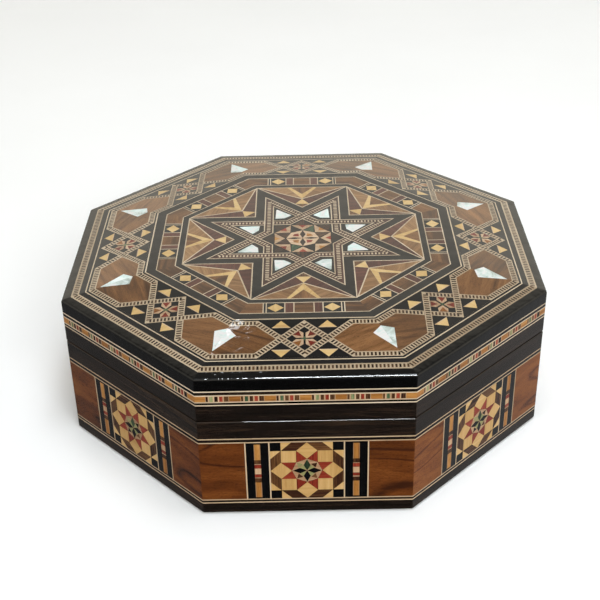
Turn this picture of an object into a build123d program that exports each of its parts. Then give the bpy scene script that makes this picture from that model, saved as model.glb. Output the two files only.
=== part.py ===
from build123d import *
import os
from math import cos, hypot, radians, sin, tan

# Octagonal wooden box with a hinged lid and inlaid veneer.
# Millimetres. Origin: centre of the underside. +Z up, front towards -Y.

# Case
APOTHEM = 100.0            # centre to outer face, half of the 200 mm across flats
SIDES = 8
SEAM_Z = 45.2              # lid meets base
RIM_Z = 65.1               # outer top edge of the lid
CENTRE_Z = 69.6            # flat raised panel of the lid
CREASE = 66.0              # apothem of the raised panel
VENEER = 1.0
BOARD = 9.0                # wall board behind the veneer
FELT = 0.6
FELT_INSET = 1.5
FLOOR_BOARD = 5.4
CEILING_Z = 59.5           # underside of the lid's top board
ARRIS_RADIUS = 1.2

# Lining
FLOOR_PAD = 2.0
PAD_GAP = 0.3
LINING = 1.0
LINING_REVEAL = 1.0        # bare wood left beside the seam

# Side veneer, heights of the bands
FOOT_TOP = 5.4
PANEL_LOW = 7.4
PANEL_HIGH = 35.0
TOP_BAND_LOW = 37.3
STRING = 0.6
LID_BAND_TOP = 52.8
MOSAIC_LOW = 54.7
MOSAIC_HIGH = 57.2
EDGE_BAND_LOW = 59.5

# Side veneer, half-widths measured from the middle of a face
STAR_HALF = 14.2
STRIP_OUT = 23.4
UPRIGHT = 0.5              # upright string between the panels

# Sloped facets of the lid, distances up the slope from the rim
EDGE_TOP = 3.9
LADDER_TOP = 7.2
BORDER_TOP = 9.6
BORDER_STRING_TOP = 10.1
CHAIN_LOW = 11.0
CHAIN_HIGH = 33.0
CHAIN_SIDE = 2.0           # half of the ladder strip's width, measured along the facet
CHAIN_RAIL = 2.85          # width of the ladder strip
CROSSING = 9.0             # middle of the facet to a crossing of the chain
CREASE_STRING = 0.6
LEMON_BASE = 3.75          # half of its base
LEMON_HEIGHT = 4.3
LEMON_MARGIN = 0.3
PETAL_NEAR = 0.7           # a petal's corners, from the middle of the diamond
PETAL_WIDE = 3.9
PETAL_NARROW = 1.1
PETAL_FAR = 3.2
KITE_INNER = 28.5
KITE_OUTER = 15.7
KITE_WIDE = 26.0
KITE_HALF = 4.0

# Raised panel, apothems of the rings
RING_STRING = 0.4
RING_OUT = 62.1
TILES_OUT = 61.7
TILES_IN = 54.4
RING_IN = 54.0
FIELD_STRING_OUT = 51.5
FIELD = 51.1
TILE_EDGES = (4.0, 7.6, 15.0, 16.2)   # joints of the tile band, from the middle of a side

# Star on the raised panel
STAR_BAND_IN = 13.0
STAR_BAND_OUT = 17.2
TRIANGLE_HALF = 21.2
DART_MARGIN_IN = 1.85      # black left between a pearl dart and the strips round it
DART_MARGIN_OUT = 1.1

# Hinges at the back
HINGE_Y = 97.0
HINGE_X = 24.0
HINGE_LENGTH = 18.0
BARREL_R = 1.9
PIN_R = 0.85
PIN_CLEARANCE = 0.05
PIN_HEAD_R = 1.3
PIN_HEAD = 0.4
KNUCKLE_GAP = 0.1
POCKET_CLEARANCE = 0.3
LEAF = 0.95
LEAF_GAP = 0.05            # each leaf lies this far below its seam face
LEAF_FRONT = 90.8
SCREW_SPREAD = 5.5
SCREW_HEAD_R = 1.3
SCREW_HEAD_HEIGHT = 0.665
SCREW_R = 0.7
SCREW_LENGTH = 6.5
SCREW_CLEARANCE = 0.05
SLOT_WIDTH = 0.35
SLOT_DEPTH = 0.3
BEVEL_APEX = 96.85         # where the bevelled back edges start
BEVEL_ANGLE = 50.0
BEVEL_REACH = 6.0          # the bevel cut runs this far back

STEP_ANGLE = 360 / SIDES
HALF_STEP = radians(STEP_ANGLE / 2)
HALF_TAN = tan(HALF_STEP)
CORE = APOTHEM - VENEER
INSIDE = CORE - BOARD
RISE = CENTRE_Z - RIM_Z
RUN = APOTHEM - CREASE
SLOPE = hypot(RISE, RUN)
RUN_PER_SLOPE = RUN / SLOPE
FLOOR_TOP = FELT + FLOOR_BOARD
PAD_TOP = FLOOR_TOP + FLOOR_PAD
TALL = 30.0                # taller than any inlay, for plan shapes cut to the veneer
SIDE_NAMES = ("front", "front_right", "right", "back_right", "back", "back_left", "left", "front_left")


def octagon(apothem):
    return RegularPolygon(apothem, SIDES, major_radius=False, rotation=STEP_ANGLE / 2)


def prism(sketch, low, high):
    return extrude(Pos(0, 0, low) * sketch, high - low)


def ring(outer, inner, low, high):
    return prism(octagon(outer) - octagon(inner), low, high)


def polygon(points):
    return make_face(Polyline(*points, close=True))


def mirrored(points):
    return [(-x, y) for x, y in reversed(points)]


def turned(solid, step):
    return Rot(0, 0, STEP_ANGLE * step) * solid


def all_round(solids):
    """Copies of the front side's solids on every side."""
    return [turned(solid, step) for step in range(SIDES) for solid in solids]


def write(name, solids):
    flat = [solid for shape in solids for solid in shape.solids()]
    export_step(Compound(children=flat), f"parts/{name}.step")


# Hinge space cut out of the wood

def bevel(side):
    """Wedge of air behind the seam: side -1 below it, in the base, and +1 above it, in the lid."""
    back = BEVEL_APEX + BEVEL_REACH
    drop = BEVEL_REACH * tan(radians(BEVEL_ANGLE))
    profile = [(BEVEL_APEX, SEAM_Z), (back, SEAM_Z), (back, SEAM_Z + side * drop)]
    face = make_face(Plane.YZ * Polyline(*profile, close=True))
    return extrude(face, APOTHEM, both=True)


def along_x(radius, low, high):
    """Cylinder on the hinge axis between two places along X."""
    middle = (low + high) / 2
    return Pos(middle, HINGE_Y, SEAM_Z) * Rot(0, 90, 0) * Cylinder(radius, high - low)


def barrel_pocket(centre):
    reach = HINGE_LENGTH / 2 + PIN_HEAD + POCKET_CLEARANCE
    return along_x(BARREL_R + POCKET_CLEARANCE, centre - reach, centre + reach)


def leaf_plate(centre, side, front, back, half_length):
    """Flat plate just inside the seam face of the base (side -1) or the lid (side +1)."""
    middle_z = SEAM_Z + side * (LEAF_GAP + LEAF / 2)
    place = Pos(centre, (front + back) / 2, middle_z)
    return place * Box(2 * half_length, back - front, LEAF)


def leaf_pocket(centre, side):
    depth = LEAF + LEAF_GAP
    place = Pos(centre, (LEAF_FRONT + HINGE_Y) / 2, SEAM_Z + side * depth / 2)
    return place * Box(HINGE_LENGTH, HINGE_Y - LEAF_FRONT, depth)


def screw_places(centre):
    y = (LEAF_FRONT + HINGE_Y - BARREL_R - POCKET_CLEARANCE) / 2
    return [(centre - SCREW_SPREAD, y), (centre + SCREW_SPREAD, y)]


def screw_body(x, y, side, grow):
    """Countersunk screw shape whose head is flush with its leaf; grow widens it for its hole."""
    face_z = SEAM_Z + side * LEAF_GAP
    head = Cone(SCREW_R + grow, SCREW_HEAD_R + grow, SCREW_HEAD_HEIGHT)
    shank = Cylinder(SCREW_R + grow, SCREW_LENGTH + grow)
    shape = Pos(0, 0, -SCREW_HEAD_HEIGHT / 2) * head + Pos(0, 0, -(SCREW_LENGTH + grow) / 2) * shank
    if side > 0:
        shape = Rot(180, 0, 0) * shape
    return Pos(x, y, face_z) * shape


def hinge_space(side):
    """Everything that the wood of one body gives up to its hinges."""
    cuts = [bevel(side)]
    for centre in (-HINGE_X, HINGE_X):
        cuts += [barrel_pocket(centre), leaf_pocket(centre, side)]
        cuts += [screw_body(x, y, side, SCREW_CLEARANCE) for x, y in screw_places(centre)]
    return cuts


def without(solid, cuts):
    for cut in cuts:
        solid = solid - cut
    return solid


# Boards

def wall_board(step, low, high):
    """Mitred board, thinner than the wall by its veneer."""
    outer = CORE * HALF_TAN
    inner = INSIDE * HALF_TAN
    plan = polygon([(-outer, -CORE), (outer, -CORE), (inner, -INSIDE), (-inner, -INSIDE)])
    return turned(prism(plan, low, high), step)


def write_walls(body, low, high, side):
    cuts = hinge_space(side)
    for step, name in enumerate(SIDE_NAMES):
        board = wall_board(step, low, high)
        if name.startswith("back"):
            board = without(board, cuts)
        write(f"{body}_wall_{name}", [board])


def dome(apothem, drop):
    """Solid under the lid's top surface, lowered by drop, down to the ceiling."""
    crease_z = CENTRE_Z - drop
    edge_z = RIM_Z - drop + (APOTHEM - apothem) * RISE / RUN
    low = prism(octagon(apothem), CEILING_Z, edge_z)
    lower = Pos(0, 0, edge_z) * octagon(apothem)
    upper = Pos(0, 0, crease_z) * octagon(CREASE)
    return low + loft([lower.face(), upper.face()], ruled=True)


# Front side of the lid: (across, up the slope) to plan, and the veneer layer there

def on_facet(points):
    return [(across, up * RUN_PER_SLOPE - APOTHEM) for across, up in points]


def mitre(up):
    """Half-width of the facet at a distance up its slope."""
    return (APOTHEM - up * RUN_PER_SLOPE) * HALF_TAN


def facet_layer():
    profile = [(-APOTHEM, RIM_Z), (-CREASE, CENTRE_Z), (-CREASE, CENTRE_Z - VENEER),
               (-APOTHEM, RIM_Z - VENEER)]
    slab = extrude(make_face(Plane.YZ * Polyline(*profile, close=True)), APOTHEM, both=True)
    return slab & prism(polygon(on_facet(strip(0, SLOPE))), CEILING_Z, CEILING_Z + TALL)


def strip(low, high):
    """Outline of a strip of the facet between its two mitres."""
    return [(-mitre(low), low), (mitre(low), low), (mitre(high), high), (-mitre(high), high)]


def inlay(outlines):
    """Pieces of the front facet's veneer layer under the given outlines."""
    layer = facet_layer()
    return [layer & prism(polygon(on_facet(points)), CEILING_Z, CEILING_Z + TALL) for points in outlines]


CHAIN_MID = (CHAIN_LOW + CHAIN_HIGH) / 2
CHAIN_REACH = CHAIN_MID - CHAIN_LOW


def black_triangles():
    """Areas above and below each crossing of the chain."""
    shapes = []
    for across in (-CROSSING, CROSSING):
        for way in (-1, 1):
            far = CHAIN_MID + way * CHAIN_REACH
            near = CHAIN_MID + way * CHAIN_SIDE
            half = CHAIN_REACH - CHAIN_SIDE
            shapes.append([(across - half, far), (across + half, far), (across, near)])
    return shapes


def lemon_triangles():
    shapes = []
    for across in (-CROSSING, CROSSING):
        for way in (-1, 1):
            tip = CHAIN_MID + way * (CHAIN_REACH - LEMON_MARGIN)
            base = tip - way * LEMON_HEIGHT
            shapes.append([(across - LEMON_BASE, base), (across + LEMON_BASE, base), (across, tip)])
    return shapes


def cartouche_half():
    """Right half-facet's walnut area, from the crossing to the mitre."""
    reach = CHAIN_REACH - CHAIN_RAIL
    corner = CROSSING + CHAIN_SIDE
    low = CHAIN_MID - reach
    high = CHAIN_MID + reach
    return [(corner, CHAIN_MID), (corner + reach, low), (mitre(low), low), (mitre(high), high),
            (corner + reach, high)]


def kite_half():
    """Half of the mother-of-pearl kite that straddles the right mitre."""
    length = hypot(1, HALF_TAN)
    widest = (mitre(KITE_WIDE) - KITE_HALF / length, KITE_WIDE - KITE_HALF * HALF_TAN / length)
    return [(mitre(KITE_INNER), KITE_INNER), widest, (mitre(KITE_OUTER), KITE_OUTER)]


def diamond_inside():
    half = CROSSING - CHAIN_SIDE
    return [(-half, CHAIN_MID), (0, CHAIN_MID - half), (half, CHAIN_MID), (0, CHAIN_MID + half)]


def flower_petals():
    """Four petals on the diagonals of the diamond."""
    outline = [(PETAL_NEAR, PETAL_NEAR), (PETAL_WIDE, PETAL_NARROW), (PETAL_FAR, PETAL_FAR),
               (PETAL_NARROW, PETAL_WIDE)]
    shapes = []
    for side_x in (-1, 1):
        for side_y in (-1, 1):
            shapes.append([(side_x * x, CHAIN_MID + side_y * y) for x, y in outline])
    return shapes


# Raised panel

def panel(sketch):
    return prism(sketch, CENTRE_Z - VENEER, CENTRE_Z)


def side_tile(left, right):
    """Tile of the ring's tile band between two distances from the middle of the front side."""
    return polygon([(left, -TILES_OUT), (right, -TILES_OUT), (right, -TILES_IN), (left, -TILES_IN)])


def corner_tile():
    start = TILE_EDGES[-1] + RING_STRING / 2
    outer = (TILES_OUT * HALF_TAN, -TILES_OUT)
    inner = (TILES_IN * HALF_TAN, -TILES_IN)
    half = polygon([(start, -TILES_OUT), outer, inner, (start, -TILES_IN)])
    return half + mirror_about_corner(half)


def mirror_about_corner(sketch):
    """Reflection in the vertical plane through the front-right corner."""
    return mirror(sketch, about=Plane((0, 0, 0), z_dir=(cos(HALF_STEP), sin(HALF_STEP), 0)))


def star_arm():
    """One straight arm of the ladder star, from its bend to its tip."""
    corners = []
    for distance in (STAR_BAND_IN, STAR_BAND_OUT):
        corners.append((distance * HALF_TAN, distance))
        corners.append((distance / HALF_TAN, distance))
    bend_in, tip_in, bend_out, tip_out = corners
    return polygon([bend_in, tip_in, tip_out, bend_out])


def star_ladder():
    arms = []
    for step in range(SIDES):
        arms.append(turned(star_arm(), step))
        arms.append(turned(mirror(star_arm(), about=Plane.YZ), step))
    return arms


def star_dart():
    """Pearl dart in the arm of the star that points 22.5 degrees up from +X."""
    inner = STAR_BAND_OUT + DART_MARGIN_IN
    outer = STAR_BAND_IN - DART_MARGIN_OUT
    lower = Plane((0, 0, 0), z_dir=(-sin(HALF_STEP), cos(HALF_STEP), 0))
    half = polygon([(inner, inner * HALF_TAN), (inner, outer), (outer / HALF_TAN, outer)])
    return half + mirror(half, about=lower)


def rosette_outline():
    points = []
    reach = hypot(STAR_BAND_IN, STAR_BAND_IN)
    valley = STAR_BAND_IN / cos(HALF_STEP)
    for step in range(SIDES):
        angle = radians(STEP_ANGLE * step)
        between = radians(STEP_ANGLE * (step + 0.5))
        points.append((reach * cos(angle), reach * sin(angle)))
        points.append((valley * cos(between), valley * sin(between)))
    return polygon(points)


def side_triangle():
    return polygon([(-TRIANGLE_HALF, -FIELD), (TRIANGLE_HALF, -FIELD), (0, TRIANGLE_HALF - FIELD)])


# Sub-parts

def write_base():
    write("underside_felt", [prism(octagon(APOTHEM - FELT_INSET), 0, FELT)])
    write("base_floor", [prism(octagon(INSIDE), FELT, FLOOR_TOP)])
    write_walls("base", FELT, SEAM_Z, -1)
    write("base_foot_band", [ring(APOTHEM, CORE, FELT, FOOT_TOP)])
    write("base_top_band", [ring(APOTHEM, CORE, TOP_BAND_LOW, SEAM_Z) - bevel(-1)])
    write("floor_velvet", [prism(octagon(INSIDE - PAD_GAP), FLOOR_TOP, PAD_TOP)])
    write("base_wall_velvet", [ring(INSIDE, INSIDE - LINING, PAD_TOP + PAD_GAP, SEAM_Z - LINING_REVEAL)])
    write_side_panels()
    light, dark = string_stack(FOOT_TOP, PANEL_LOW)
    more_light, more_dark = string_stack(PANEL_HIGH, TOP_BAND_LOW)
    write("base_light_strings", light + more_light + upright_strings())
    write("base_dark_strings", dark + more_dark)


def string_stack(low, high):
    """Two light strings with a dark one between them, round the whole case."""
    light = [ring(APOTHEM, CORE, low, low + STRING), ring(APOTHEM, CORE, high - STRING, high)]
    dark = [ring(APOTHEM, CORE, low + STRING, high - STRING)]
    return light, dark


def side_piece(left, right):
    """Upright piece of the side veneer on the front face."""
    plan = polygon([(left, -APOTHEM), (right, -APOTHEM), (right, -CORE), (left, -CORE)])
    return prism(plan, PANEL_LOW, PANEL_HIGH)


def walnut_piece():
    start = STRIP_OUT + UPRIGHT
    outer = (APOTHEM * HALF_TAN, -APOTHEM)
    inner = (CORE * HALF_TAN, -CORE)
    return prism(polygon([(start, -APOTHEM), outer, inner, (start, -CORE)]), PANEL_LOW, PANEL_HIGH)


def write_side_panels():
    strip_start = STAR_HALF + UPRIGHT
    right = walnut_piece()
    write("side_walnut_panels", all_round([right, mirror(right, about=Plane.YZ)]))
    write("side_star_panels", all_round([side_piece(-STAR_HALF, STAR_HALF)]))
    strips = [side_piece(strip_start, STRIP_OUT), side_piece(-STRIP_OUT, -strip_start)]
    write("side_tile_strips", all_round(strips))


def upright_strings():
    pieces = []
    for start in (STAR_HALF, STRIP_OUT):
        pieces.append(side_piece(start, start + UPRIGHT))
        pieces.append(side_piece(-start - UPRIGHT, -start))
    return all_round(pieces)


def write_lid_case():
    write_walls("lid", SEAM_Z, CEILING_Z, 1)
    write("lid_top_board", [dome(CORE, VENEER)])
    write("lid_lower_band", [ring(APOTHEM, CORE, SEAM_Z, LID_BAND_TOP) - bevel(1)])
    lower_light, lower_dark = string_stack(LID_BAND_TOP, MOSAIC_LOW)
    upper_light, upper_dark = string_stack(MOSAIC_HIGH, EDGE_BAND_LOW)
    write("lid_light_strings", lower_light + upper_light)
    write("lid_dark_strings", lower_dark + upper_dark)
    write("lid_mosaic_band", [ring(APOTHEM, CORE, MOSAIC_LOW, MOSAIC_HIGH)])
    write("lid_edge_band", [edge_band()])
    ceiling_low = CEILING_Z - LINING
    write("lid_ceiling_velvet", [prism(octagon(INSIDE - PAD_GAP), ceiling_low, CEILING_Z)])
    lining_low = SEAM_Z + LINING_REVEAL
    write("lid_wall_velvet", [ring(INSIDE, INSIDE - LINING, lining_low, ceiling_low - PAD_GAP)])


def edge_band():
    """Black band that wraps the lid's outer arris, which is rounded."""
    inner = APOTHEM - EDGE_TOP * RUN_PER_SLOPE
    whole = dome(APOTHEM, 0)
    whole = fillet([edge for edge in whole.edges() if on_arris(edge)], ARRIS_RADIUS)
    return whole - dome(CORE, VENEER) - prism(octagon(inner), CEILING_Z, CEILING_Z + TALL)


def on_arris(edge):
    centre = edge.center()
    level = abs(centre.Z - RIM_Z) < STRING / 10
    return level and hypot(centre.X, centre.Y) > CORE


def write_lid_facets():
    write("border_ladder", all_round(inlay([strip(EDGE_TOP, LADDER_TOP)])))
    write("border_black_band", all_round(inlay([strip(LADDER_TOP, BORDER_TOP)])))
    kite = kite_half()
    kites = inlay([kite, mirrored(kite)])
    walnut = cartouche_half()
    areas = inlay([walnut, mirrored(walnut)])
    black = inlay(black_triangles())
    diamond = inlay([diamond_inside()])
    petals = inlay(flower_petals())
    lemons = inlay(lemon_triangles())
    chain = without(inlay([strip(CHAIN_LOW, CHAIN_HIGH)])[0], areas + black + diamond)
    ground = [without(shape, lemons) for shape in black]
    ground += [without(shape, petals) for shape in diamond]
    ground += inlay([strip(BORDER_STRING_TOP, CHAIN_LOW), strip(CHAIN_HIGH, SLOPE - CREASE_STRING)])
    write("pearl_kites", all_round(kites))
    write("walnut_cartouches", all_round([without(area, kites) for area in areas]))
    write("facet_ground", all_round(ground))
    write("flower_petals", all_round(petals))
    write("lemonwood_triangles", all_round(lemons))
    write("chain_ladder", all_round([chain]))


def ring_strings():
    """Light strings of the raised panel, with the cross pieces between the tiles."""
    rings = [octagon(outer) - octagon(outer - RING_STRING) for outer in (RING_OUT, RING_IN + RING_STRING)]
    frame = panel(rings[0]) + panel(rings[1])
    crosses = []
    for edge in TILE_EDGES:
        for side in (-1, 1):
            left = side * edge - RING_STRING / 2
            crosses.append(panel(side_tile(left, left + RING_STRING)))
    for cross in all_round(crosses):
        frame = frame + cross
    return [frame, panel(octagon(FIELD_STRING_OUT) - octagon(FIELD))]


def write_lid_panel():
    facet_strings = inlay([strip(BORDER_TOP, BORDER_STRING_TOP), strip(SLOPE - CREASE_STRING, SLOPE)])
    write("top_light_strings", all_round(facet_strings) + ring_strings())
    bands = [octagon(CREASE) - octagon(RING_OUT), octagon(RING_IN) - octagon(FIELD_STRING_OUT)]
    write("ring_black_bands", [panel(band) for band in bands])
    gap = RING_STRING / 2
    middle, dark, diamond, thin = TILE_EDGES
    middle_tile = panel(side_tile(gap - middle, middle - gap))
    write("ring_walnut_tiles", all_round([middle_tile, panel(corner_tile())]))
    write("ring_dark_tiles", both_sides([(middle, dark), (diamond, thin)]))
    write("ring_diamond_tiles", both_sides([(dark, diamond)]))


def both_sides(spans):
    """Tiles on every side of the ring, left and right of its middle, short of the strings."""
    gap = RING_STRING / 2
    tiles = []
    for start, end in spans:
        tiles.append(panel(side_tile(start + gap, end - gap)))
        tiles.append(panel(side_tile(gap - end, -start - gap)))
    return all_round(tiles)


def write_star():
    triangles = all_round([panel(side_triangle())])
    dart = panel(star_dart())
    darts = all_round([dart])
    arms = [panel(arm) for arm in star_ladder()]
    ladder = arms[0].fuse(*arms[1:])
    rosette = panel(rosette_outline())
    ground = without(panel(octagon(FIELD)), triangles + darts + [ladder, rosette])
    write("star_triangles", triangles)
    write("pearl_darts", darts)
    write("star_ladder", [ladder])
    write("centre_rosette", [rosette])
    write("star_ground", [ground])


# Hinges

def hinge_leaf(centre, side):
    """One leaf with its knuckles: two outer ones on the base, the middle one on the lid."""
    third = HINGE_LENGTH / 3
    start = centre - HINGE_LENGTH / 2
    spans = [(start, start + third), (start + 2 * third, start + HINGE_LENGTH)]
    if side > 0:
        spans = [(start + third + KNUCKLE_GAP, start + 2 * third - KNUCKLE_GAP)]
    back = HINGE_Y - BARREL_R - POCKET_CLEARANCE
    leaf = leaf_plate(centre, side, LEAF_FRONT, back, HINGE_LENGTH / 2)
    for low, high in spans:
        leaf = leaf + along_x(BARREL_R, low, high)
        leaf = leaf + leaf_plate((low + high) / 2, side, back, HINGE_Y, (high - low) / 2)
    leaf = leaf - along_x(PIN_R + PIN_CLEARANCE, start - third, start + HINGE_LENGTH + third)
    return without(leaf, [screw_body(x, y, side, SCREW_CLEARANCE) for x, y in screw_places(centre)])


def hinge_pin(centre):
    reach = HINGE_LENGTH / 2
    pin = along_x(PIN_R, centre - reach, centre + reach)
    pin = pin + along_x(PIN_HEAD_R, centre - reach - PIN_HEAD, centre - reach)
    return pin + along_x(PIN_HEAD_R, centre + reach, centre + reach + PIN_HEAD)


def slotted_screw(x, y, side):
    slot_z = SEAM_Z + side * (LEAF_GAP + SLOT_DEPTH / 2)
    slot = Pos(x, y, slot_z) * Box(2 * SCREW_HEAD_R, SLOT_WIDTH, SLOT_DEPTH)
    return screw_body(x, y, side, 0) - slot


def write_hinges():
    centres = (-HINGE_X, HINGE_X)
    write("hinge_pins", [hinge_pin(centre) for centre in centres])
    for body, side in (("base", -1), ("lid", 1)):
        write(f"hinge_{body}_leaves", [hinge_leaf(centre, side) for centre in centres])
        places = [place for centre in centres for place in screw_places(centre)]
        write(f"hinge_{body}_screws", [slotted_screw(x, y, side) for x, y in places])


os.makedirs("parts", exist_ok=True)
write_base()
write_lid_case()
write_lid_facets()
write_lid_panel()
write_star()
write_hinges()
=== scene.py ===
"""Visual model of the octagonal inlaid box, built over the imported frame.

Lengths in this file are millimetres until a point is placed, and metres from there on.
"""
import contextlib
import math
import random

import bmesh
import bpy
from mathutils import Matrix, Vector


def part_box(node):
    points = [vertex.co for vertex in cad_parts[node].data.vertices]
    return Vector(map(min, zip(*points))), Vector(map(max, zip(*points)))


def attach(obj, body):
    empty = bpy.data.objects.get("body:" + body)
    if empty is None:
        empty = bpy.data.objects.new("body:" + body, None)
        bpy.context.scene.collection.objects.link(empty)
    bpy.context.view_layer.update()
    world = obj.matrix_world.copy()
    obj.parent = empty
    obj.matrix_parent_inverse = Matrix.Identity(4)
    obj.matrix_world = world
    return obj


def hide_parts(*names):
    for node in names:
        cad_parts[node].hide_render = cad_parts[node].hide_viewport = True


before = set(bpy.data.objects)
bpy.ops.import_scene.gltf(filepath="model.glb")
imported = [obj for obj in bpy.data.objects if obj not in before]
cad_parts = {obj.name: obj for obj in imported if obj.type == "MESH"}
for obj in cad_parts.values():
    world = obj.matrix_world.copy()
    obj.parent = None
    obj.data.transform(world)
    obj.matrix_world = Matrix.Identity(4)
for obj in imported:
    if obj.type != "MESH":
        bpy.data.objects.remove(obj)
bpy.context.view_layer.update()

MM = 0.001
SIDES = 8
STEP = math.tau / SIDES
HALF_TAN = math.tan(STEP / 2)
TURN = 45                  # the step again, in degrees
HALF_TURN = 22.5


def heights(node):
    """Lowest and highest point of a CAD node, in millimetres."""
    return [corner.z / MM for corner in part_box(node)]


# Case, from the CAD nodes
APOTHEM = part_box("base_foot_band")[1].x / MM
FOOT_LOW, FOOT_TOP = heights("base_foot_band")
PANEL_LOW, PANEL_HIGH = heights("side_walnut_panels")
TOP_BAND_LOW, SEAM_Z = heights("base_top_band")
LID_BAND_TOP = heights("lid_lower_band")[1]
MOSAIC_LOW, MOSAIC_HIGH = heights("lid_mosaic_band")
EDGE_BAND_LOW = heights("lid_edge_band")[0]
CENTRE_Z = heights("star_ground")[1]
RIM_Z = 65.1               # outer edge of the sloped facets
CREASE = 66.0              # apothem of the flat panel
STRING = 0.5
VENEER = 1.0
BOARD = 9.0
CORE = APOTHEM - VENEER
RISE = CENTRE_Z - RIM_Z
RUN = APOTHEM - CREASE
SLOPE = math.hypot(RISE, RUN)
PITCH = math.atan2(RISE, RUN)

# The veneer is laid in thin levels over the ground, so that small tiles show over large ones
LEVEL = 0.02
GLUE = 0.04                # dark line left round each tile
SMALLEST = 0.01            # tiles of less area, in square millimetres, are left out
LOG = 90                   # extent of the wood pattern that tiles are cut from
CORNER_RADIUS = 0.9
SHARPEST = 0.02            # radius of the corners deep in the veneer
CORNER_PARTS = (-1.0, -0.5, 0.0, 0.5, 1.0)   # points round a corner, as parts of its half angle
SEAM_RADIUS = 0.45
SEAM_GAP = 0.7             # slot under the lid, its back darkened as painted shade
ARRIS_RADIUS = 1.3
ARC_STEPS = 6
WORN_AND_HIGHLIGHT_TONE = 0.1            # rubbed edges are lighter: partly wear, partly a painted highlight
# How much darker the strip at the back of the slot under the lid is: painted shade
SLOT_PAINTED_SHADE = -0.8

# Sloped facets, distances up the slope from the rim
EDGE_TOP = 3.9
BORDER_LADDER = (3.9, 7.2)
BORDER_STRING = (9.6, 10.1)
CHAIN = (11.0, 33.0)
CHAIN_MID = sum(CHAIN) / 2
CHAIN_WIDTH = 2.85
CHAIN_HALF = CHAIN_WIDTH / math.sqrt(2)
CROSSING = 9.0             # from the middle of the facet
CREASE_STRING = (33.75, SLOPE)
LADDER_PITCH = 1.47
LADDER_CELL = (0.8, 1.95)

# In the spaces of the chain. Lemonwood triangle and its pale edge: half-width and distance from the tip
LEMON_MARGIN = 0.3
LEMON_BASE = (3.75, 4.3)
LEMON_EDGE = (3.3, 3.95)
CARTOUCHE_GRAIN = 28
KITE_ENDS = (28.8, 15.6)   # on the mitre
KITE_SHOULDER = (26.2, 4.2, 24.5)   # in from the mitre at the first height, by the second, at the third
PETAL = [(0.42, 0.42), (3.3, 0.42), (4.75, 2.05), (2.05, 4.75), (0.42, 3.3)]
PETAL_CORE = [(4.45, 2.2), (2.2, 4.45), (1.2, 1.2)]
FLOWER_EYE = (1.5, 0.5)    # green star in the middle of the petals: radii of its points and notches

# Rings of the flat panel, apothems
RING_STRINGS = ((61.7, 62.1), (54.0, 54.4), (51.1, 51.5))
TILE_BAND = (54.4, 61.7)
FIELD = 51.1
RING_JOINTS = (4.0, 7.6, 15.0, 16.2)   # from the middle of a side
RING_DIAMOND = [(3.3, 0), (0, 3.0), (-3.3, 0), (0, -3.0)]
CROSS_STRING = 0.4

# Star of ladder strips on the flat panel
STAR_IN = 13.0
STAR_OUT = 17.2
STAR_STRING = 0.45
STAR_PITCH = 1.5
STAR_BAR = (0.75, 1.6)

# Field triangle, from its base on the innermost string
TRIANGLE_HALF = 21.2       # also its height
TRIANGLE_STRING = 0.45
SHOULDER = 17.3            # foot of the small dark tip
HUB = 12.4                 # where the inner tiles meet
SPOKE = (0.9, 0.6)         # width of a pale line at its foot and at the hub
LEG = (6.9, 5.4)           # a lemonwood leg at its foot, outside and inside
LEG_TOP = 7.0

# Pearl dart between two arms of the star: radius, and degrees from its axis
DART_HEEL = 21.1
DART_EDGE = ((22.7, 9.9), (23.4, 8.9), (30.4, 0.4))

# Rosette: radii from the centre, and degrees from the axis of a point
ROSE_MARGINS = (0.3, 0.2)  # black ground, in from the star's strips at their corners and between them
ROSE_JOINT = 13.5
ROSE_POINT = (17.6, 12.9, 18)
ROSE_NOTCH = 7.7
ROSE_CORE = (12.35, 1.9, 9.8)
ROSE_WEDGE = (13.1, 3, 42)
ROSE_EYE = 7.3
EYE_RHOMBS = (0.9, 1.3)    # half-widths, in turn
EYE_CORE = (4.9, 22, 5.3, 2.3)

# Side panels
STAR_HALF = 14.2
STRIP_OUT = 23.4
UPRIGHT = 0.5
STRIP_COLUMN = 2.6
SLIVER = 0.35              # pale edges of the orange tiles

# Small star in the middle of a side panel
SMALL_KITE = (0.97, 1.45, 2.7)   # its point as a part of the octagon, then its shoulders
SMALL_ARROW = [(1.4, 3.35), (3.35, 1.4)]
SMALL_ARROW_TIP = 5.6
SMALL_HEART = [(0.3, 0.3), (1.35, 3.0), (3.0, 1.35)]

# Lining
INSIDE = CORE - BOARD
SOFT_COLUMNS = 16          # points along one side of an octagon
PULL = 0.6                 # how far a pad's sides pull in between its corners
TUCK = 1.2                 # wall lining behind the edge of a pad
BACK_RINGS = (0.04, 0.3, 0.6, 0.9, 0.985)   # of a pad's hidden face, as parts of its apothem
FACE_RINGS = 25
RING_SPACING = 0.04
ROUNDING = 0.3             # part of a pad's height that its edge is set back
WALL_ROWS = 10
WALL_EDGE = ((0.0, 0.0), (0.5, 0.0), (0.8, 0.3))   # profile of an edge: off the board, and along it
WALL_DEPTH = 1.0
WALL_BULGE = 0.5

# Sloped back edges that let the lid swing open
BEVEL_APEX = 96.85
BEVEL_ANGLE = math.radians(50)


def added(name, data):
    """New object in the scene."""
    item = bpy.data.objects.new(name, data)
    bpy.context.scene.collection.objects.link(item)
    return item


@contextlib.contextmanager
def edited(mesh):
    """The mesh as a bmesh, written back at the end."""
    work = bmesh.new()
    work.from_mesh(mesh)
    yield work
    work.to_mesh(mesh)
    work.free()


def crossed(row, column, rows, columns):
    """Corners of one cell of a grid that closes both ways, as row and column."""
    upper = (row + 1) % rows
    after = (column + 1) % columns
    return (row, column), (row, after), (upper, after), (upper, column)


# Outlines

def polar(radius, degrees):
    angle = math.radians(degrees)
    return (radius * math.cos(angle), radius * math.sin(angle))


def regular(radius):
    """Octagon with a corner on the X axis."""
    return [polar(radius, TURN * number) for number in range(SIDES)]


def rectangle(left, right, low, high):
    return [(left, low), (right, low), (right, high), (left, high)]


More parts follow.
